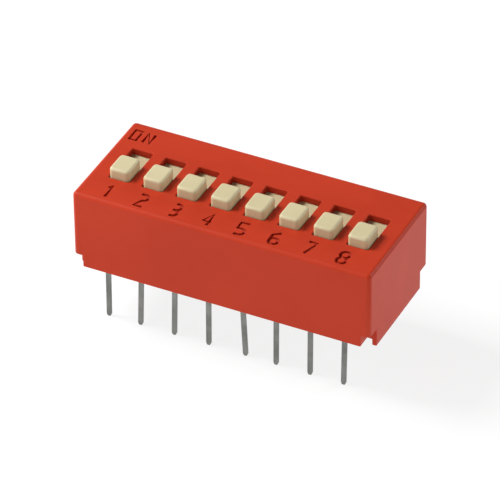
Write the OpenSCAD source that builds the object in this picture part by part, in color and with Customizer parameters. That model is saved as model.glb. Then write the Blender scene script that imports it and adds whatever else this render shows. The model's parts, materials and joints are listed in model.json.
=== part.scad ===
// Eight-pole DIP switch with raised slide actuators, for through-hole boards.
// Origin: centre of the pin pattern, on the seating plane (the undersides of the end feet).
// +X runs along the row from pole 1 to pole 8, +Y points to the ON side and +Z is up.
// Every slider is drawn in its OFF place; ON is one travel along +Y.

/* [Pin pattern] */
// Distance between neighbouring poles
pitch = 2.54; // [2.1:0.01:3.2]
// Distance between the two rows of pins
row_gap = 7.62; // [6:0.01:10.2]
// Width of a pin, along its row
pin_w = 0.36; // [0.25:0.01:0.5]
// Thickness of a pin, across its row
pin_t = 0.22; // [0.15:0.01:0.3]
// How far the pins reach below the seating plane
pin_reach = 3.78; // [2.5:0.02:5]
// Length of the taper at a pin's tip
tip_l = 0.2; // [0.1:0.05:0.6]
// Width of a pin at its very tip
tip_w = 0.22; // [0.08:0.02:0.24]

/* [Cover] */
// Height of the top face above the seating plane
body_h = 6.52; // [5.4:0.01:8]
// Least room between the pins and the front and back walls
pin_room = 0.14; // [0.1:0.01:1]
// Least room between the ends of the sliders' plates and those walls
plate_room = 0.1; // [0.05:0.01:0.4]
// Thickness of the front and back walls
side_wall = 0.58; // [0.4:0.01:0.8]
// Thickness of the two end walls
end_wall = 0.92; // [0.7:0.01:2]
// Thickness of the roof
roof = 0.5; // [0.4:0.05:0.8]
// Height of the stand-off feet under the end walls
foot_h = 0.48; // [0.1:0.02:0.6]
// Thickness of those feet, which stand at the outer face of their wall
foot_t = 0.34; // [0.2:0.02:0.7]
// What a bottom corner's notch leaves of the end wall's thickness
notch_wall = 0.24; // [0.15:0.01:0.4]
// Notch at each bottom corner: its size across the row
notch_y = 1.1; // [0.5:0.05:1.8]
// Top of the corner notches above the seating plane
notch_top = 1.4; // [0.8:0.05:2]

/* [Legends] */
// Height of a digit
digit_h = 1.6; // [1:0.1:1.8]
// Width of a digit
digit_w = 0.9; // [0.6:0.05:1.2]
// Width of an engraved stroke
stroke = 0.28; // [0.15:0.01:0.3]
// Depth of the engraving
engraved = 0.2; // [0.05:0.01:0.25]
// Distance from the front face to the middle of the digits
digit_inset = 1.2; // [1:0.05:1.5]
// How much closer together the digits stand than the poles
digit_squeeze = 0.05; // [0:0.01:0.1]
// Sideways shift of the whole row of digits, towards pole 8
digit_shift = -0.15; // [-0.2:0.05:0.2]
// Height of the word ON
on_h = 1.4; // [1:0.05:1.7]
// Width of each of its two letters
on_w = 0.8; // [0.6:0.05:1]
// Gap between them
on_gap = 0.2; // [0.1:0.05:0.3]
// Distance from the left end to the middle of the word ON
on_inset_x = 1.4; // [1.4:0.1:3]
// Distance from the back face to the middle of the word ON
on_inset_y = 1.5; // [1.2:0.05:1.7]

/* [Sliders] */
// Width of a slider's nib
nib_w = 1.5; // [1.2:0.02:1.8]
// Length of a nib, along its travel
nib_l = 1.86; // [1.4:0.02:2.3]
// Height of a nib above the top face
nib_h = 0.74; // [0.2:0.02:1.2]
// Travel from OFF to ON
travel = 1.74; // [1.4:0.02:1.94]
// Play between a nib and its slot, on every side
slot_gap = 0.05; // [0.03:0.01:0.1]
// Middle of the slots, measured from the switch's centre line towards ON
slot_y = -0.15; // [-0.3:0.05:0.3]
// Thickness of the plate under the roof that a nib stands on
plate_t = 0.8; // [0.5:0.05:1]
// Play between the plate and the roof
roof_gap = 0.04; // [0.02:0.01:0.1]
// How far the plate still reaches past the slot when it is slid away
plate_lap = 0.12; // [0.05:0.01:0.15]
// Gap between the plates of neighbouring sliders
plate_gap = 0.24; // [0.1:0.02:0.4]
// Width of the block that carries the contact spring
carrier_w = 1.5; // [1.2:0.05:1.6]
// Length of that block
carrier_l = 2.6; // [2:0.1:3]

/* [Contacts] */
// Underside of the carrier block above the base floor, which is the room for the spring
spring_room = 1.3; // [0.8:0.05:1.5]
// Width of a contact spring
spring_w = 1.1; // [0.8:0.05:1.4]
// Thickness of the spring strip
spring_t = 0.12; // [0.08:0.01:0.2]
// Half-length of the flat middle of the spring
spring_flat = 0.55; // [0.4:0.05:0.7]
// Distance from the middle of the spring to each wiping crest
spring_reach = 1.6; // [1.4:0.05:1.7]
// Distance from the middle of the spring to each turned-up end
spring_end = 2; // [1.9:0.05:2.1]
// Width of the slit that splits each leg of the spring in two
slit_w = 0.2; // [0.1:0.02:0.3]
// Gap between a wiping crest and the floor that it runs over
wipe_gap = 0.03; // [0.01:0.01:0.1]
// Radius of the stake that holds the spring to its slider
stake_r = 0.3; // [0.2:0.01:0.35]
// How far the stake stands out below the spring
stake_h = 0.1; // [0.05:0.01:0.2]
// Radial clearance of the stake in the spring
stake_gap = 0.02; // [0.01:0.01:0.05]
// Width of a terminal inside the base
terminal_w = 1.3; // [0.9:0.05:1.5]
// Width of a terminal's shank where it passes down through the base
shank_w = 0.8; // [0.6:0.05:1]
// Thickness of a contact pad
pad_t = 0.2; // [0.15:0.01:0.3]
// Gap between the front and back pads of a pole
pad_gap = 1.5; // [1:0.05:1.7]
// Middle of that gap, measured from the middle of the slots towards ON
pad_gap_y = 0.45; // [0.3:0.05:0.6]

/* [Base] */
// Top of the base floor above the seating plane
floor_z = 2.4; // [2.1:0.05:3]
// Underside of the base above the seating plane
base_z = 1; // [0.9:0.05:1.4]
// Thickness of the sealing resin under the base
seal_t = 0.4; // [0.2:0.05:0.5]
// Thickness of the ribs between the poles
rib_t = 0.5; // [0.3:0.05:0.5]
// Gap between a rib and the plates that slide over it
rib_gap = 0.15; // [0.05:0.05:0.4]
// Gap between the ends of a rib and the cover
rib_inset = 0.5; // [0.1:0.1:1]

/* [Hidden] */
poles = 8;
eps = 0.01;
slot_w = nib_w + 2 * slot_gap;
slot_l = nib_l + travel + 2 * slot_gap;
plate_w = pitch - plate_gap;
plate_l = slot_l + travel + 2 * plate_lap;
// The pins or the sliders' plates, whichever need more, set how wide the cover is inside
cavity_w = max(row_gap + pin_t + 2 * pin_room, plate_l + travel + 2 * (plate_room + abs(slot_y)));
body_w = cavity_w + 2 * side_wall;
cavity_l = poles * pitch;
body_l = cavity_l + 2 * end_wall;
notch_x = end_wall - notch_wall;
plate_top = body_h - roof - roof_gap;
plate_z = plate_top - plate_t;
off_y = slot_y - travel / 2;
seat_z = floor_z + spring_room;
spring_drop = spring_room - spring_t - wipe_gap;
rib_top = plate_z - rib_gap;
// Sideways lean of each front pin, in degrees: they are a little bent from handling
front_lean = [-0.5, -2, -1.5, -0.5, 2.5, -0.5, -0.5, -1];
back_lean = [for (i = [1:poles]) 0];
$fn = 48;

// Middle of a pole along the row
function pole_x(i) = (i - (poles + 1) / 2) * pitch;

// Middle of a digit along the row
function digit_x(i) = pole_x(i) * (pitch - digit_squeeze) / pitch + digit_shift;

// How far the middle line of the spring lies below its flat, at a distance y from its middle
function spring_sag(y) =
    abs(y) < spring_flat ? 0
    : spring_drop * (1 - cos(180 * (abs(y) - spring_flat) / (spring_reach - spring_flat))) / 2;

// A block that is centred along X and Y and stands on z
module block(x, y, z, h) {
    translate([-x / 2, -y / 2, z]) cube([x, y, h]);
}

// A straight stroke between two points
module line(a, b) {
    d = b - a;
    translate(a)
        rotate(atan2(d[1], d[0]))
            translate([-stroke / 2, -stroke / 2]) square([norm(d) + stroke, stroke]);
}

// An upright rectangle drawn as a stroke, w wide and h high, with its lower left corner at p
module frame_of(p, w, h) {
    line(p, p + [w, 0]);
    line(p + [w, 0], p + [w, h]);
    line(p + [w, h], p + [0, h]);
    line(p + [0, h], p);
}

// A round stroke: a ring, or the half of it that half_turn points to, +1 right or -1 left
module bowl(c, r, half_turn = 0) {
    reach = r + stroke;
    translate(c)
        difference() {
            circle(r + stroke / 2);
            circle(r - stroke / 2);
            if (half_turn != 0)
                translate([half_turn > 0 ? -reach : 0, -reach]) square([reach, 2 * reach]);
        }
}

// One digit from 1 to 8, centred, drawn with strokes
module digit(n) {
    w = digit_w - stroke;
    h = digit_h - stroke;
    r = h / 4;
    l = -w / 2;
    if (n == 1) {
        line([0, -h / 2], [0, h / 2]);
        line([0, h / 2], [l / 1.5, h / 2 - w / 2]);
    }
    if (n == 2) {
        bowl([0, r], r, 1);
        line([l, h / 2], [0, h / 2]);
        line([0, 0], [l, -h / 2]);
        line([l, -h / 2], [-l, -h / 2]);
    }
    if (n == 3) {
        bowl([0, r], r, 1);
        bowl([0, -r], r, 1);
        for (k = [-1:1]) line([l / 2, k * h / 2], [0, k * h / 2]);
    }
    if (n == 4) {
        line([-l / 2, -h / 2], [-l / 2, h / 2]);
        line([-l / 2, h / 2], [l, -h / 6]);
        line([l, -h / 6], [-l, -h / 6]);
    }
    if (n == 5) {
        bowl([0, -r], r, 1);
        line([l, -h / 2], [0, -h / 2]);
        line([0, 0], [l, 0]);
        line([l, 0], [l, h / 2]);
        line([l, h / 2], [-l, h / 2]);
    }
    if (n == 6) {
        bowl([0, -r], r);
        line([-r, -r], [-r, h / 4]);
        line([-r, h / 4], [r / 2, h / 2]);
    }
    if (n == 7) {
        line([l, h / 2], [-l, h / 2]);
        line([-l, h / 2], [l / 3, -h / 2]);
    }
    if (n == 8) {
        bowl([0, r], r);
        bowl([0, -r], r);
    }
}

// The word ON
module word_on() {
    w = on_w - stroke;
    h = on_h - stroke;
    step = on_w + on_gap;
    translate([-step / 2, 0]) frame_of([-w / 2, -h / 2], w, h);
    translate([step / 2, 0]) {
        line([-w / 2, -h / 2], [-w / 2, h / 2]);
        line([-w / 2, h / 2], [w / 2, -h / 2]);
        line([w / 2, -h / 2], [w / 2, h / 2]);
    }
}

// Everything that is moulded into the top face
module legends() {
    for (i = [1:poles])
        translate([digit_x(i), digit_inset - body_w / 2]) digit(i);
    translate([on_inset_x - body_l / 2, body_w / 2 - on_inset_y]) word_on();
}

// Moulded shell: roof with a slot for each pole, four walls and a thin foot under each end
module cover() {
    foot_l = body_w - 2 * notch_y;
    color([0.79, 0.25, 0.2])
        difference() {
            union() {
                block(body_l, body_w, foot_h, body_h - foot_h);
                for (side = [-1, 1])
                    translate([side * (body_l - foot_t) / 2, 0]) block(foot_t, foot_l, 0, foot_h + eps);
            }
            block(cavity_l, cavity_w, -eps, body_h - roof + eps);
            for (sx = [-1, 1], sy = [-1, 1])
                translate([sx * body_l / 2, sy * body_w / 2])
                    block(2 * notch_x, 2 * notch_y, 0, notch_top);
            for (i = [1:poles])
                translate([pole_x(i), slot_y])
                    block(slot_w, slot_l, body_h - roof - eps, roof + 2 * eps);
            translate([0, 0, body_h - engraved]) linear_extrude(engraved + eps) legends();
        }
}

// One terminal as a bent strip: contact pad, shank through the base and pin below it.
// side is -1 for the front row and 1 for the back row.
module terminal(i, side, lean) {
    pad_end = slot_y + pad_gap_y + side * pad_gap / 2;
    outer = side * (row_gap + pin_t) / 2;
    pin_l = pin_reach + base_z;
    color([0.62, 0.62, 0.6])
        translate([pole_x(i), 0, 0]) {
            translate([0, (pad_end + outer) / 2, 0])
                block(terminal_w, abs(outer - pad_end), floor_z - pad_t, pad_t);
            translate([0, side * row_gap / 2, 0]) {
                block(shank_w, pin_t, base_z, floor_z - base_z - pad_t + eps);
                translate([0, pin_t / 2, base_z + eps])
                    rotate([90, -lean, 0])
                        linear_extrude(pin_t)
                            polygon([
                                [-pin_w / 2, 0],
                                [-pin_w / 2, tip_l - pin_l],
                                [-tip_w / 2, -pin_l],
                                [tip_w / 2, -pin_l],
                                [pin_w / 2, tip_l - pin_l],
                                [pin_w / 2, 0]
                            ]);
            }
        }
}

module terminal_front(i) {
    terminal(i, -1, front_lean[i - 1]);
}

module terminal_back(i) {
    terminal(i, 1, back_lean[i - 1]);
}

module terminals() {
    for (i = [1:poles]) {
        terminal_front(i);
        terminal_back(i);
    }
}

// Moulded floor that holds the terminals, with a rib between neighbouring poles
module base() {
    color([0.72, 0.24, 0.19])
        difference() {
            union() {
                block(cavity_l, cavity_w, base_z, floor_z - base_z);
                for (i = [1:poles - 1])
                    translate([pole_x(i) + pitch / 2, 0])
                        block(rib_t, cavity_w - 2 * rib_inset, floor_z - eps, rib_top - floor_z + eps);
            }
            terminals();
        }
}

// Sealing resin poured round the pins under the base
module seal() {
    color([0.16, 0.13, 0.12])
        difference() {
            block(cavity_l, cavity_w, base_z - seal_t, seal_t);
            terminals();
        }
}

// Moulded slider: nib, plate under the roof, carrier block and the stake for its spring
module slider(i) {
    color([0.84, 0.75, 0.63])
        translate([pole_x(i), off_y, 0]) {
            block(nib_w, nib_l, plate_top - eps, body_h + nib_h - plate_top + eps);
            block(plate_w, plate_l, plate_z, plate_t);
            block(carrier_w, carrier_l, seat_z, plate_z - seat_z + eps);
            translate([0, 0, seat_z - spring_t - stake_h])
                cylinder(h = spring_t + stake_h + eps, r = stake_r);
        }
}

// Contact spring: a bowed strip with two split legs, staked under the slider
module spring(i) {
    steps = 40;
    ys = [for (k = [0:steps]) spring_end * (2 * k / steps - 1)];
    upper = [for (y = ys) [y, -spring_sag(y)]];
    lower = [for (k = [steps:-1:0]) [ys[k], -spring_sag(ys[k]) - spring_t]];
    color([0.85, 0.68, 0.35])
        translate([pole_x(i), off_y, seat_z])
            difference() {
                translate([-spring_w / 2, 0, 0])
                    rotate([90, 0, 90]) linear_extrude(spring_w) polygon(concat(upper, lower));
                for (side = [-1, 1])
                    translate([0, side * (spring_flat + spring_end) / 2, 0])
                        block(slit_w, spring_end - spring_flat + eps, -spring_room, spring_room + eps);
                translate([0, 0, -spring_t - eps])
                    cylinder(h = spring_t + 2 * eps, r = stake_r + stake_gap);
            }
}

cover();
base();
seal();
for (i = [1:poles]) {
    slider(i);
    spring(i);
    terminal_front(i);
    terminal_back(i);
}
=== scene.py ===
"""Looks of an eight-pole DIP switch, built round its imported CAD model.

Shapes are made in millimetres, and to_metres brings each finished mesh to its true size.
"""
import json
import math

import bmesh
import bpy
from mathutils import Euler, Matrix, Vector


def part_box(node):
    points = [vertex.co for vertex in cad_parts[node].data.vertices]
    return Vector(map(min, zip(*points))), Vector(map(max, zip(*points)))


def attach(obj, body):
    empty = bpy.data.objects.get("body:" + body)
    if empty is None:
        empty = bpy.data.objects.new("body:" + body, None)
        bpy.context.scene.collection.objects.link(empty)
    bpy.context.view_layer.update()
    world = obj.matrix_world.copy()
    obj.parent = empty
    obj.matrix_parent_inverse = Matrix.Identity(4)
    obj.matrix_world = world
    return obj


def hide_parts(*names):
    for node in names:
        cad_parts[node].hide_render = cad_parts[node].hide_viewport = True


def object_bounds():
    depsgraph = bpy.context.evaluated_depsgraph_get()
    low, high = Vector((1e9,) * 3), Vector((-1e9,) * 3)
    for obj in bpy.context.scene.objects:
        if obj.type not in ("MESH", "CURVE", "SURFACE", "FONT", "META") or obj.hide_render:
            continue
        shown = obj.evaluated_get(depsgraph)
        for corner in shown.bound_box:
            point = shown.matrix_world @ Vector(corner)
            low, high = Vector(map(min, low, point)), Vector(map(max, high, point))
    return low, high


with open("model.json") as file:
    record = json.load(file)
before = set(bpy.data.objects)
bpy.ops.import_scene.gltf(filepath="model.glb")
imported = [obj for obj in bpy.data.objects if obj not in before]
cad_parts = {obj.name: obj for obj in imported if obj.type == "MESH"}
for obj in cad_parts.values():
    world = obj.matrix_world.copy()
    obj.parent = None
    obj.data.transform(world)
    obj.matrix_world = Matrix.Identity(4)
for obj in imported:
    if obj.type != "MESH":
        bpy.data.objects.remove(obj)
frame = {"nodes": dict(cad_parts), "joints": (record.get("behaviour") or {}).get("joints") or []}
cad_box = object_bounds()

MM = 0.001
POLES = 8


# ---------------------------------------------------------------- sizes, in millimetres

def box_mm(node):
    """Lowest and highest corner of a CAD node, in millimetres."""
    low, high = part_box(node)
    return low / MM, high / MM


cover_low, cover_high = box_mm("cover")
base_low, base_high = box_mm("base")
seal_low, seal_high = box_mm("seal")
slider_boxes = [box_mm(f"slider_{i}") for i in range(1, POLES + 1)]
slider_low, slider_high = slider_boxes[0]
pole_x = [(low.x + high.x) / 2 for low, high in slider_boxes]
pitch = pole_x[1] - pole_x[0]
travel = frame["joints"][0]["range_m"][1] / MM
body_l = cover_high.x - cover_low.x
body_w = cover_high.y - cover_low.y
top_z = cover_high.z
cavity_l = base_high.x - base_low.x
cavity_w = base_high.y - base_low.y
plate_w = slider_high.x - slider_low.x
plate_l = slider_high.y - slider_low.y
nib_top = slider_high.z
off_y = (slider_low.y + slider_high.y) / 2
slot_y = off_y + travel / 2

# Sizes that the frame's boxes don't give, as in the CAD source
ROOF = 0.5            # thickness of the roof
FOOT_H = 0.48         # height of the feet
FOOT_T = 0.34         # thickness of the feet
NOTCH_WALL = 0.24     # what a notch leaves of the end wall's thickness
NOTCH_Y = 1.1         # size of a notch across the row
NOTCH_TOP = 1.4       # top of the notches
NIB_W = 1.5           # width of a nib
NIB_L = 1.86          # its length, along the travel
SLOT_GAP = 0.05       # play between a nib and its slot, on every side
ROOF_GAP = 0.04       # play between a slider's plate and the roof
PLATE_T = 0.8         # thickness of the plate
CARRIER_W = 1.5       # width of a slider's carrier block
CARRIER_L = 2.6       # its length
SEAT_Z = 3.7          # its underside
STAKE_R = 0.3         # radius of the stake under it
ROW_GAP = 7.62        # distance between the two rows of pins
PIN_W = 0.36          # width of a pin, along its row
PIN_T = 0.22          # thickness of a pin, across its row
STROKE = 0.28         # width of an engraved stroke
ENGRAVED = 0.2        # depth of the engraving
DIGIT_H = 1.6         # height of a digit
DIGIT_W = 0.9         # width of a digit
DIGIT_INSET = 1.2     # from the front face to the middle of the digits
DIGIT_SQUEEZE = 0.05  # how much closer together the digits stand than the poles
DIGIT_SHIFT = -0.15   # sideways shift of the row of digits
ON_H = 1.4            # height of the word ON
ON_W = 0.8            # width of each of its letters
ON_GAP = 0.2          # gap between them
ON_INSET_X = 1.4      # from the left end to the middle of the word
ON_INSET_Y = 1.5      # from the back face to the middle of the word

notch_x = (body_l - cavity_l) / 2 - NOTCH_WALL
foot_y = body_w / 2 - NOTCH_Y
slot_w = NIB_W + 2 * SLOT_GAP
slot_l = NIB_L + travel + 2 * SLOT_GAP
plate_top = top_z - ROOF - ROOF_GAP
digit_x = [x * (pitch - DIGIT_SQUEEZE) / pitch + DIGIT_SHIFT for x in pole_x]

# Roundings of the visual model
COVER_ROUND = 0.3     # outer edges of the cover
FOOT_ROUND = 0.06     # edges of its feet, its notches and its underside
SLOT_RIM = 0.07       # rims of the slots
SLOT_CORNER = 0.12    # corners of the slots, seen from above
BLOCK_ROUND = 0.08    # edges and corners of the sliders' plates and carriers
NIB_ROUND = 0.2       # edges round the top of a nib
NIB_CORNER = 0.27     # corners of a nib, seen from above
STAKE_ROUND = 0.04    # edges of a stake's ends

# How far shapes reach into each other or past a surface where they are joined or cut
FOOT_JOIN = 0.5       # a foot into the wall above it
BLOCK_JOIN = 0.3      # a slider's nib and carrier into its plate, and its stake into the carrier
PAST_ROOF = 0.5       # the slots' cutter, above and below the roof
PAST_UNDERSIDE = 1    # the other cutters, below the cover's open underside

# Places that are closer together than this count as one, and no rounded corner has a smaller radius
NEAR = 0.01
# Corners of a CAD mesh that are closer together than this are made one
WELD = 0.001


# ---------------------------------------------------------------- mesh helpers

def new_object(name, data):
    """An object in the scene that holds this mesh, curve, light or camera."""
    thing = bpy.data.objects.new(name, data)
    bpy.context.scene.collection.objects.link(thing)
    return thing


def object_from(name, bm):
    """An object made from bm, with its faces turned outwards."""
    bmesh.ops.recalc_face_normals(bm, faces=bm.faces)
    mesh = bpy.data.meshes.new(name)
    bm.to_mesh(mesh)
    bm.free()
    return new_object(name, mesh)


def boxes(name, corners):
    """An object made of boxes, each given by its lowest and highest corner."""
    bm = bmesh.new()
    for low, high in corners:
        for v in bmesh.ops.create_cube(bm, size=1.0)["verts"]:
            v.co = [high[axis] if v.co[axis] > 0 else low[axis] for axis in range(3)]
    return object_from(name, bm)


def rounded_rectangle(width, length, radius):
    """Points round a rectangle with rounded corners, anticlockwise."""
    steps = 4
    points = []
    for quarter, (side_x, side_y) in enumerate([(1, 1), (-1, 1), (-1, -1), (1, -1)]):
        centre = Vector((side_x * (width / 2 - radius), side_y * (length / 2 - radius)))
        for k in range(steps + 1):
            angle = math.radians(90 * (quarter + k / steps))
            points.append(centre + radius * Vector((math.cos(angle), math.sin(angle))))
    return points


def quarter_round(radius, steps=3):
    """Insets and heights along a quarter circle that starts upright and ends level."""
    angles = [math.radians(90 * k / steps) for k in range(steps + 1)]
    return [(radius * (1 - math.cos(angle)), radius * math.sin(angle)) for angle in angles]


def bridge(bm, lower, upper):
    """A band of faces between two closed loops that have the same number of corners."""
    for k in range(len(lower)):
        n = (k + 1) % len(lower)
        bm.faces.new((lower[k], lower[n], upper[n], upper[k]))


def add_loft(bm, rings, centre):
    """A closed solid through rings, each a list of points in the plane and a height."""
    loops = []
    for points, z in rings:
        loops.append([bm.verts.new((p.x + centre[0], p.y + centre[1], z)) for p in points])
    for lower, upper in zip(loops, loops[1:]):
        bridge(bm, lower, upper)
    bm.faces.new(list(reversed(loops[0])))
    bm.faces.new(loops[-1])


def rounded_block(name, size, heights, radius, centre, corner=None, steps=3, flat_bottom=False):
    """A block with its edges and its upright corners rounded; the bottom edges may stay sharp."""
    width, length = size
    low_z, high_z = heights
    corner = corner or radius
    rounding = quarter_round(radius, steps)
    if flat_bottom:
        profile = [(0, low_z)]
    else:
        profile = [(inset, low_z + radius - rise) for inset, rise in reversed(rounding)]
    profile += [(inset, high_z - radius + rise) for inset, rise in rounding]
    rings = []
    for inset, z in profile:
        points = rounded_rectangle(width - 2 * inset, length - 2 * inset, max(corner - inset, NEAR))
        rings.append((points, z))
    bm = bmesh.new()
    add_loft(bm, rings, centre)
    return object_from(name, bm)


def evaluated_mesh(thing):
    """A new mesh of thing, with its modifiers or curve settings worked out."""
    graph = bpy.context.evaluated_depsgraph_get()
    return bpy.data.meshes.new_from_object(thing.evaluated_get(graph))


def boolean(thing, tool, operation):
    """Cuts tool out of thing or joins it on; tool is used up."""
    m = thing.modifiers.new("boolean", "BOOLEAN")
    m.operation = operation
    m.solver = "EXACT"
    m.object = tool
    m.use_self = True
    mesh = evaluated_mesh(thing)
    thing.modifiers.clear()
    thing.data = mesh
    bpy.data.objects.remove(tool)


def round_edges(thing, pick, radius, segments):
    """Rounds the sharp edges for which pick(edge) is true."""
    sharp = math.radians(30)
    bm = bmesh.new()
    bm.from_mesh(thing.data)
    edges = [edge for edge in bm.edges if edge.calc_face_angle(0) > sharp and pick(edge)]
    bmesh.ops.bevel(bm, geom=edges, offset=radius, segments=segments, profile=0.5, affect="EDGES",
                    clamp_overlap=True)
    bm.to_mesh(thing.data)
    bm.free()


def triangulate(thing):
    """Splits a cut mesh's faces into well-shaped triangles."""
    bm = bmesh.new()
    bm.from_mesh(thing.data)
    bmesh.ops.triangulate(bm, faces=bm.faces, quad_method="BEAUTY", ngon_method="BEAUTY")
    bm.to_mesh(thing.data)
    bm.free()


def to_metres(thing, material):
    """Gives a finished mesh its true size, its material, and smooth shading with sharp edges kept."""
    mesh = thing.data
    mesh.transform(Matrix.Scale(MM, 4))
    mesh.materials.clear()
    mesh.materials.append(material)
    mesh.polygons.foreach_set("use_smooth", [True] * len(mesh.polygons))
    mesh.set_sharp_from_angle(angle=math.radians(50))
    m = thing.modifiers.new("weighted", "WEIGHTED_NORMAL")
    m.keep_sharp = True
    mesh.update()


# ---------------------------------------------------------------- materials

def linear(*screen):
    """A colour given as three 0 to 255 values on a screen, as Blender takes it."""
    parts = [value / 255 for value in screen]
    return tuple(p / 12.92 if p <= 0.04045 else ((p + 0.055) / 1.055) ** 2.4 for p in parts) + (1.0,)


class Nodes:
    """A material with a Principled shader and short calls for its nodes."""

    def __init__(self, name):
        self.material = bpy.data.materials.new(name)
        self.material.use_nodes = True
        self.tree = self.material.node_tree
        self.shader = self.tree.nodes["Principled BSDF"]
        self.place = self.tree.nodes.new("ShaderNodeTexCoord").outputs["Object"]

    def link(self, output, socket):
        self.tree.links.new(output, socket)

    def noise(self, scale, detail, roughness, density=None):
        """Noise with about scale cells to the metre, times density along x, y and z if it is given."""
        node = self.tree.nodes.new("ShaderNodeTexNoise")
        node.inputs["Scale"].default_value = scale
        node.inputs["Detail"].default_value = detail
        node.inputs["Roughness"].default_value = roughness
        source = self.place
        if density:
            mapping = self.tree.nodes.new("ShaderNodeMapping")
            mapping.inputs["Scale"].default_value = density
            self.link(source, mapping.inputs["Vector"])
            source = mapping.outputs["Vector"]
        self.link(source, node.inputs["Vector"])
        return node.outputs["Fac"]

    def colour(self, pattern, dark, light):
        """The shader's colour goes from dark to light across the middle of the pattern's range."""
        node = self.tree.nodes.new("ShaderNodeValToRGB")
        first, last = node.color_ramp.elements
        first.position = 0.3
        first.color = dark
        last.position = 0.7
        last.color = light
        self.link(pattern, node.inputs["Fac"])
        self.link(node.outputs["Color"], self.shader.inputs["Base Color"])

    def roughness(self, pattern, lowest, highest):
        """The shader's roughness follows the pattern from lowest to highest."""
        node = self.tree.nodes.new("ShaderNodeMapRange")
        node.inputs["To Min"].default_value = lowest
        node.inputs["To Max"].default_value = highest
        self.link(pattern, node.inputs["Value"])
        self.link(node.outputs["Result"], self.shader.inputs["Roughness"])

    def bump(self, pattern, strength, distance):
        """The surface seems to rise and fall with the pattern, by distance in metres."""
        node = self.tree.nodes.new("ShaderNodeBump")
        node.inputs["Strength"].default_value = strength
        node.inputs["Distance"].default_value = distance
        self.link(pattern, node.inputs["Height"])
        self.link(node.outputs["Normal"], self.shader.inputs["Normal"])


def plastic(name, dark, light, roughness, grain, specular=0.5):
    """Moulded plastic: a faint flow mottle in the colour and a fine eroded grain."""
    m = Nodes(name)
    flow = m.noise(scale=160, detail=4, roughness=0.6, density=(1, 2.2, 1))
    fine = m.noise(scale=9000, detail=3, roughness=0.6)
    m.colour(flow, dark, light)
    m.roughness(fine, *roughness)
    m.bump(fine, strength=grain, distance=0.00001)
    m.shader.inputs["Specular IOR Level"].default_value = specular
    return m.material


def metal(name, dark, light, roughness, grain, density):
    """Plated strip, a little cloudy, with drawing lines along the axes of low density."""
    m = Nodes(name)
    cloud = m.noise(scale=700, detail=4, roughness=0.6)
    drawn = m.noise(scale=5000, detail=2, roughness=0.5, density=density)
    m.colour(cloud, dark, light)
    m.roughness(drawn, *roughness)
    m.bump(drawn, strength=grain, distance=0.000006)
    m.shader.inputs["Metallic"].default_value = 1.0
    return m.material


red = plastic("cover_red", dark=(0.485, 0.038, 0.013, 1), light=(0.535, 0.044, 0.016, 1),
              roughness=(0.32, 0.42), grain=0.25, specular=0.12)
# Painted shade: a deeper, duller red for the slots' walls and the engraving, standing in for the shadow
# inside them
painted_shade_red = plastic("cover_painted_shade", dark=(0.38, 0.026, 0.009, 1), light=(0.44, 0.03, 0.011, 1),
                 roughness=(0.45, 0.6), grain=0.25, specular=0.12)
red_inner = plastic("base_red", dark=(0.4, 0.023, 0.006, 1), light=(0.45, 0.027, 0.008, 1),
                    roughness=(0.45, 0.6), grain=0.3)
cream = plastic("slider_cream", dark=(0.6, 0.52, 0.31, 1), light=(0.66, 0.58, 0.355, 1),
                roughness=(0.36, 0.48), grain=0.3, specular=0.45)
resin = plastic("seal_resin", dark=linear(38, 26, 22), light=linear(52, 36, 29),
                roughness=(0.12, 0.3), grain=0.15)
tin = metal("terminal_tin", dark=linear(110, 111, 108), light=linear(140, 140, 136),
            roughness=(0.32, 0.5), grain=0.3, density=(1, 1, 0.08))
gold = metal("spring_gold", dark=linear(212, 170, 88), light=linear(228, 190, 110),
             roughness=(0.2, 0.34), grain=0.2, density=(1, 0.1, 0.1))


# ---------------------------------------------------------------- legends

# Degrees between two points of an arc
ARC_STEP = 18


def arc(x, y, radius, start, end):
    """Points of an arc round a centre, with the angles in degrees."""
    steps = abs(end - start) // ARC_STEP
    angles = [math.radians(start + (end - start) * k / steps) for k in range(steps + 1)]
    return [(x + radius * math.cos(angle), y + radius * math.sin(angle)) for angle in angles]


def digit_lines(digit):
    """The strokes of a digit as lists of points, centred on the origin."""
    width = DIGIT_W - STROKE
    height = DIGIT_H - STROKE
    left, right = -width / 2, width / 2
    low, high = -height / 2, height / 2
    bowl = height / 4
    upper_bowl = arc(0, bowl, bowl, 90, -90)
    lower_bowl = arc(0, -bowl, bowl, 90, -90)
    return {
        1: [[(0, low), (0, high), (left / 1.5, high - width / 2)]],
        2: [[(left, high)] + upper_bowl + [(left, low), (right, low)]],
        3: [[(left / 2, high)] + upper_bowl + [(left / 2, 0)],
            [(0, 0)] + lower_bowl + [(left / 2, low)]],
        4: [[(right / 2, low), (right / 2, high), (left, -height / 6), (right, -height / 6)]],
        5: [[(right, high), (left, high), (left, 0)] + lower_bowl + [(left, low)]],
        6: [arc(0, -bowl, bowl, 180, -180), [(-bowl, -bowl), (-bowl, high - bowl), (bowl / 2, high)]],
        7: [[(left, high), (right, high), (left / 3, low)]],
        8: [arc(0, bowl, bowl, 270, -90), arc(0, -bowl, bowl, 90, -270)],
    }[digit]


def word_on_lines():
    """The strokes of the letters O and N side by side, centred on the origin."""
    left, right = (STROKE - ON_W) / 2, (ON_W - STROKE) / 2
    low, high = (STROKE - ON_H) / 2, (ON_H - STROKE) / 2
    step = (ON_W + ON_GAP) / 2
    letter_o = [(left, low), (right, low), (right, high), (left, high), (left, low)]
    letter_n = [(left, low), (left, high), (right, low), (right, high)]
    return [[(x - step, y) for x, y in letter_o], [(x + step, y) for x, y in letter_n]]


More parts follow.
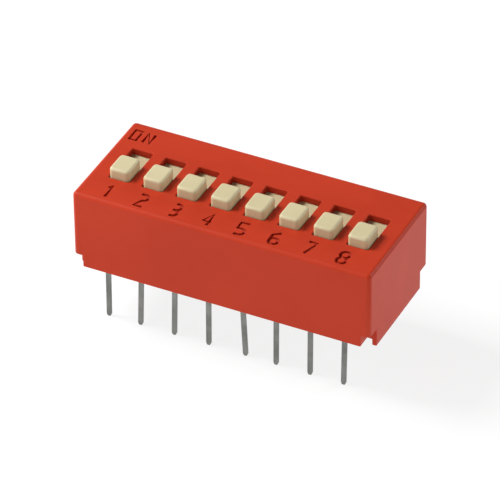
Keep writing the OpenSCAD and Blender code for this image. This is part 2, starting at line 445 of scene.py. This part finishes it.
def legend_cutter():
    """Round-bottomed strokes for every digit and the word ON."""
    lines = []
    for digit, middle in enumerate(digit_x, start=1):
        for line in digit_lines(digit):
            lines.append([(middle + x, cover_low.y + DIGIT_INSET + y) for x, y in line])
    for line in word_on_lines():
        lines.append([(cover_low.x + ON_INSET_X + x, cover_high.y - ON_INSET_Y + y) for x, y in line])
    curve = bpy.data.curves.new("legend", "CURVE")
    curve.dimensions = "3D"
    curve.bevel_depth = STROKE / 2
    curve.bevel_resolution = 2
    curve.use_fill_caps = True
    axis_z = top_z + STROKE / 2 - ENGRAVED
    for line in lines:
        closed = math.dist(line[0], line[-1]) < NEAR
        points = line[:-1] if closed else line
        spline = curve.splines.new("POLY")
        spline.points.add(len(points) - 1)
        spline.use_cyclic_u = closed
        for point, (x, y) in zip(spline.points, points):
            point.co = (x, y, axis_z, 1)
    drawn = new_object("legend", curve)
    mesh = evaluated_mesh(drawn)
    bpy.data.objects.remove(drawn)
    return new_object("legend_cutter", mesh)


# ---------------------------------------------------------------- cover

def is_top(edge):
    """Whether the edge lies in the top face."""
    return all(v.co.z > top_z - NEAR for v in edge.verts)


def is_tall_corner(edge):
    """Whether the edge is an upright corner of the body, above its notch."""
    a, b = edge.verts
    return abs(a.co.z - b.co.z) > NOTCH_TOP and abs(abs(a.co.x) - body_l / 2) < NEAR


def is_low(edge):
    """Whether the edge belongs to the underside, a foot or a notch."""
    return all(v.co.z < NOTCH_TOP + NEAR for v in edge.verts)


def outer_shell():
    """The cover's outside as a solid block, with its feet, its notched corners and rounded edges."""
    shell = boxes("cover_shell", [((cover_low.x, cover_low.y, FOOT_H), cover_high)])
    feet = []
    for low_x in (cover_low.x, cover_high.x - FOOT_T):
        feet.append(((low_x, -foot_y, cover_low.z), (low_x + FOOT_T, foot_y, FOOT_H + FOOT_JOIN)))
    boolean(shell, boxes("feet", feet), "UNION")
    notches = []
    for x in (cover_low.x, cover_high.x):
        for y in (cover_low.y, cover_high.y):
            low = (x - notch_x, y - NOTCH_Y, cover_low.z - PAST_UNDERSIDE)
            notches.append((low, (x + notch_x, y + NOTCH_Y, NOTCH_TOP)))
    boolean(shell, boxes("notches", notches), "DIFFERENCE")
    round_edges(shell, lambda edge: is_top(edge) or is_tall_corner(edge), COVER_ROUND, segments=5)
    round_edges(shell, is_low, FOOT_ROUND, segments=2)
    return shell


def slot_cutter():
    """A cutter for every slot, which widens at the top face and so rounds the slot's rim."""
    profile = [(0, top_z - ROOF - PAST_ROOF)]
    profile += [(wider, top_z - SLOT_RIM + rise) for wider, rise in quarter_round(SLOT_RIM)]
    profile.append((SLOT_RIM, top_z + PAST_ROOF))
    rings = []
    for wider, z in profile:
        points = rounded_rectangle(slot_w + 2 * wider, slot_l + 2 * wider, SLOT_CORNER + wider)
        rings.append((points, z))
    bm = bmesh.new()
    for x in pole_x:
        add_loft(bm, rings, (x, slot_y))
    return object_from("slots", bm)


def paint_shade_in_recesses(shell):
    """Paints shade into the slots' walls, the engraving and the roof's underside: a deeper red that
    stands in for the shadow inside them.
    """
    from_outside = 0.4
    from_top = 0.06
    shell.data.materials.append(painted_shade_red)
    # Faces inside the roof and below the top face, away from the outer walls, get the painted shade
    for face in shell.data.polygons:
        middle = face.center / MM
        within_x = abs(middle.x) < body_l / 2 - from_outside
        within_y = abs(middle.y) < body_w / 2 - from_outside
        if within_x and within_y and top_z - ROOF - NEAR < middle.z < top_z - from_top:
            face.material_index = 1


def make_cover():
    """The red shell with rounded outer edges, softened slot rims and engraved legends, with painted
    shade in its recesses.
    """
    shell = outer_shell()
    cavity_low = (-cavity_l / 2, -cavity_w / 2, cover_low.z - PAST_UNDERSIDE)
    cavity_high = (cavity_l / 2, cavity_w / 2, top_z - ROOF)
    boolean(shell, boxes("cavity", [(cavity_low, cavity_high)]), "DIFFERENCE")
    boolean(shell, slot_cutter(), "DIFFERENCE")
    boolean(shell, legend_cutter(), "DIFFERENCE")
    to_metres(shell, red)
    paint_shade_in_recesses(shell)
    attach(shell, "housing")
    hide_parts("cover")


# ---------------------------------------------------------------- sliders

def make_slider(number):
    """Nib with softened edges on its plate, and the carrier block with the stake below."""
    centre = (pole_x[number - 1], off_y)
    slider = rounded_block(f"slider_body_{number}", (plate_w, plate_l),
                           (plate_top - PLATE_T, plate_top), BLOCK_ROUND, centre)
    nib = rounded_block("nib", (NIB_W, NIB_L), (plate_top - BLOCK_JOIN, nib_top), NIB_ROUND, centre,
                        corner=NIB_CORNER, steps=5, flat_bottom=True)
    carrier = rounded_block("carrier", (CARRIER_W, CARRIER_L),
                            (SEAT_Z, plate_top - BLOCK_JOIN), BLOCK_ROUND, centre)
    # The stake is all but round: a sliver of a flat between its corners keeps their points apart
    sliver = 0.005
    stake = rounded_block("stake", (2 * STAKE_R, 2 * STAKE_R), (slider_low.z, SEAT_Z + BLOCK_JOIN),
                          STAKE_ROUND, centre, corner=STAKE_R - sliver)
    for block in (nib, carrier, stake):
        boolean(slider, block, "UNION")
    to_metres(slider, cream)
    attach(slider, f"switch_{number}")
    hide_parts(f"slider_{number}")


# ---------------------------------------------------------------- sealing resin

GRID_FINE = 0.06      # spacing of the resin's grid close to the pins and walls
GRID_COARSE = 0.3     # spacing away from them
GRID_REACH = 0.42     # how far from a pin or a wall counts as close
WALL_CREEP = 0.16     # how far the resin has crept down at a wall
WALL_FADE = 0.2       # over what distance from the wall that dies away
PIN_CREEP = 0.22      # how far it has crept down at a pin
PIN_FADE = 0.13       # over what distance from the pin that dies away
PIN_REACH = 1         # how far along the row a pin has any effect
RIPPLE = 0.012        # height of the ripples in the surface
RIPPLE_X = 1.3        # how fast they follow each other along x, in radians to the millimetre
RIPPLE_Y = 1.9        # the same along y
RIPPLE_START = 0.7    # where they start along x, in radians


def graded(half, centres):
    """Places from -half to half, close together near the ends and each centre and wide apart between."""
    places = [-half]
    while places[-1] < half - GRID_FINE:
        following = places[-1] + GRID_FINE
        near = min(abs(following - centre) for centre in centres) < GRID_REACH
        edge = half - abs(following) < GRID_REACH
        places.append(places[-1] + (GRID_FINE if near or edge else GRID_COARSE))
    places[-1] = half
    return places


def creep(x, y):
    """How far the resin has crept down the pins and the cover's walls, and its slight ripple."""
    to_wall = min(cavity_l / 2 - abs(x), cavity_w / 2 - abs(y))
    depth = WALL_CREEP * math.exp(-to_wall / WALL_FADE)
    depth += RIPPLE * math.sin(RIPPLE_X * x + RIPPLE_START) * math.cos(RIPPLE_Y * y)
    beside_y = max(abs(abs(y) - ROW_GAP / 2) - PIN_T / 2, 0)
    for pin_x in pole_x:
        if abs(x - pin_x) < PIN_REACH:
            beside_x = max(abs(x - pin_x) - PIN_W / 2, 0)
            depth += PIN_CREEP * math.exp(-math.hypot(beside_x, beside_y) / PIN_FADE)
    return depth


def pin_cutter():
    """The terminals of the CAD model as one cutter."""
    bm = bmesh.new()
    for side in ("front", "back"):
        for i in range(1, POLES + 1):
            bm.from_mesh(frame["nodes"][f"terminal_{side}_{i}"].data)
    bm.transform(Matrix.Scale(1 / MM, 4))
    bmesh.ops.remove_doubles(bm, verts=bm.verts, dist=WELD)
    return object_from("pins", bm)


def make_seal():
    """The poured resin: flat where it meets the base, and drawn down the pins and walls below."""
    bm = bmesh.new()
    xs = graded(cavity_l / 2, pole_x)
    ys = graded(cavity_w / 2, (-ROW_GAP / 2, ROW_GAP / 2))
    rows = [[bm.verts.new((x, y, seal_low.z - creep(x, y))) for x in xs] for y in ys]
    for a, b in zip(rows, rows[1:]):
        for k in range(len(xs) - 1):
            bm.faces.new((a[k], a[k + 1], b[k + 1], b[k]))
    right = [row[-1] for row in rows[1:]]
    back = rows[-1][-2::-1]
    left = [row[0] for row in rows[-2:0:-1]]
    rim = rows[0] + right + back + left
    top = [bm.verts.new((v.co.x, v.co.y, seal_high.z)) for v in rim]
    bridge(bm, rim, top)
    bm.faces.new(top)
    seal = object_from("poured_resin", bm)
    boolean(seal, pin_cutter(), "DIFFERENCE")
    triangulate(seal)
    to_metres(seal, resin)
    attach(seal, "housing")
    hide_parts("seal")


# ---------------------------------------------------------------- CAD nodes that stay

def dress(node, material, bevel):
    """A CAD node with its material and softened edges; bevel is their width in millimetres."""
    thing = frame["nodes"][node]
    for holder in thing.material_slots:
        holder.material = material
    thing.modifiers.new("weld", "WELD").merge_threshold = WELD * MM
    m = thing.modifiers.new("edges", "BEVEL")
    m.width = bevel * MM
    m.segments = 2
    m.limit_method = "ANGLE"
    m.angle_limit = math.radians(40)
    m.harden_normals = True


# ---------------------------------------------------------------- build

make_cover()
make_seal()
for i in range(1, POLES + 1):
    make_slider(i)
    dress(f"spring_{i}", gold, bevel=0.015)
    dress(f"terminal_front_{i}", tin, bevel=0.04)
    dress(f"terminal_back_{i}", tin, bevel=0.04)
dress("base", red_inner, bevel=0.03)


# ---------------------------------------------------------------- floor, light and camera

FLOOR_GLOW = 0.82     # brightness of the floor's own glow
FLOOR_GREY = 0.2      # how much light the floor throws back
FLOOR_HALF = 1.5      # half the floor's width
WALLS = 0.47          # brightness of the walls round the object
CEILING = 0.06        # the ceiling's share of that
WALL_HEIGHT = 0.6     # sine of the angle above the horizon at which the walls end
WALL_BLEND = 0.2      # half the width of the fade there, as a sine too

# Soft boxes: name, azimuth and elevation in degrees, distance and size in metres, power in watts
SOFT_BOXES = [
    ("key", -85, 48, 0.35, 0.14, 1.24),
    ("edge_front", -33, 43, 0.13, 0.06, 0.02),
    ("low_left", -60, 9, 0.062, 0.032, 0.006),
    ("front_right", 55, 20, 0.8, 0.24, 0.55),
    ("edge_right", 140, 21, 0.4, 0.12, 0.34),
]

# The camera, in millimetres and degrees: the point it looks at, and where it stands, seen from there
CAMERA_AIM = (-0.31, 0.61, 1.565)
CAMERA_AZIMUTH = 26.36
CAMERA_ELEVATION = 36.82
CAMERA_ROLL = 0.61
CAMERA_DISTANCE = 314.6
CAMERA_LENS = 333.2


def direction(azimuth, elevation):
    """Unit vector from the object towards a place round it; azimuth 0 is in front of it."""
    a, e = math.radians(azimuth), math.radians(elevation)
    return Vector((math.sin(a) * math.cos(e), -math.cos(a) * math.cos(e), math.sin(e)))


def make_floor():
    """A pale floor that glows, so that the shadows on it stay faint."""
    bm = bmesh.new()
    bmesh.ops.create_grid(bm, x_segments=1, y_segments=1, size=FLOOR_HALF)
    floor = object_from("floor", bm)
    floor.location.z = cad_box[0].z
    m = Nodes("floor_white")
    m.shader.inputs["Base Color"].default_value = (FLOOR_GREY, FLOOR_GREY, FLOOR_GREY, 1)
    m.shader.inputs["Roughness"].default_value = 0.9
    m.shader.inputs["Specular IOR Level"].default_value = 0.0
    m.shader.inputs["Emission Color"].default_value = (1, 1, 1, 1)
    m.shader.inputs["Emission Strength"].default_value = FLOOR_GLOW
    floor.data.materials.append(m.material)


def make_walls():
    """White walls all round, which fade into a dim ceiling."""
    world = bpy.data.worlds.new("studio")
    bpy.context.scene.world = world
    world.use_nodes = True
    nodes = world.node_tree.nodes
    links = world.node_tree.links
    place = nodes.new("ShaderNodeTexCoord")
    split = nodes.new("ShaderNodeSeparateXYZ")
    shade = nodes.new("ShaderNodeValToRGB")
    shade.color_ramp.interpolation = "EASE"
    low, high = shade.color_ramp.elements
    low.position = WALL_HEIGHT - WALL_BLEND
    low.color = (1, 1, 1, 1)
    high.position = WALL_HEIGHT + WALL_BLEND
    high.color = (CEILING, CEILING, CEILING, 1)
    links.new(place.outputs["Generated"], split.inputs["Vector"])
    links.new(split.outputs["Z"], shade.inputs["Fac"])
    links.new(shade.outputs["Color"], nodes["Background"].inputs["Color"])
    nodes["Background"].inputs["Strength"].default_value = WALLS


def add_soft_box(name, azimuth, elevation, distance, size, power):
    """A square area light that looks at the object."""
    data = bpy.data.lights.new(name, "AREA")
    data.shape = "SQUARE"
    data.size = size
    data.energy = power
    back = direction(azimuth, elevation)
    light = new_object(name, data)
    light.location = back * distance
    light.rotation_euler = back.to_track_quat("Z", "Y").to_euler()


def make_camera():
    """A long lens close to the object, at its front right and looking down on it."""
    data = bpy.data.cameras.new("camera")
    data.sensor_width = 36
    data.lens = CAMERA_LENS
    data.clip_start = 0.01
    data.clip_end = 10
    camera = new_object("camera", data)
    back = direction(CAMERA_AZIMUTH, CAMERA_ELEVATION)
    camera.location = (Vector(CAMERA_AIM) + back * CAMERA_DISTANCE) * MM
    roll = Euler((0, 0, math.radians(-CAMERA_ROLL))).to_matrix()
    camera.rotation_euler = ((-back).to_track_quat("-Z", "Y").to_matrix() @ roll).to_euler()
    bpy.context.scene.camera = camera


make_floor()
make_walls()
for soft_box in SOFT_BOXES:
    add_soft_box(*soft_box)
make_camera()
bpy.context.scene.view_settings.view_transform = "Standard"
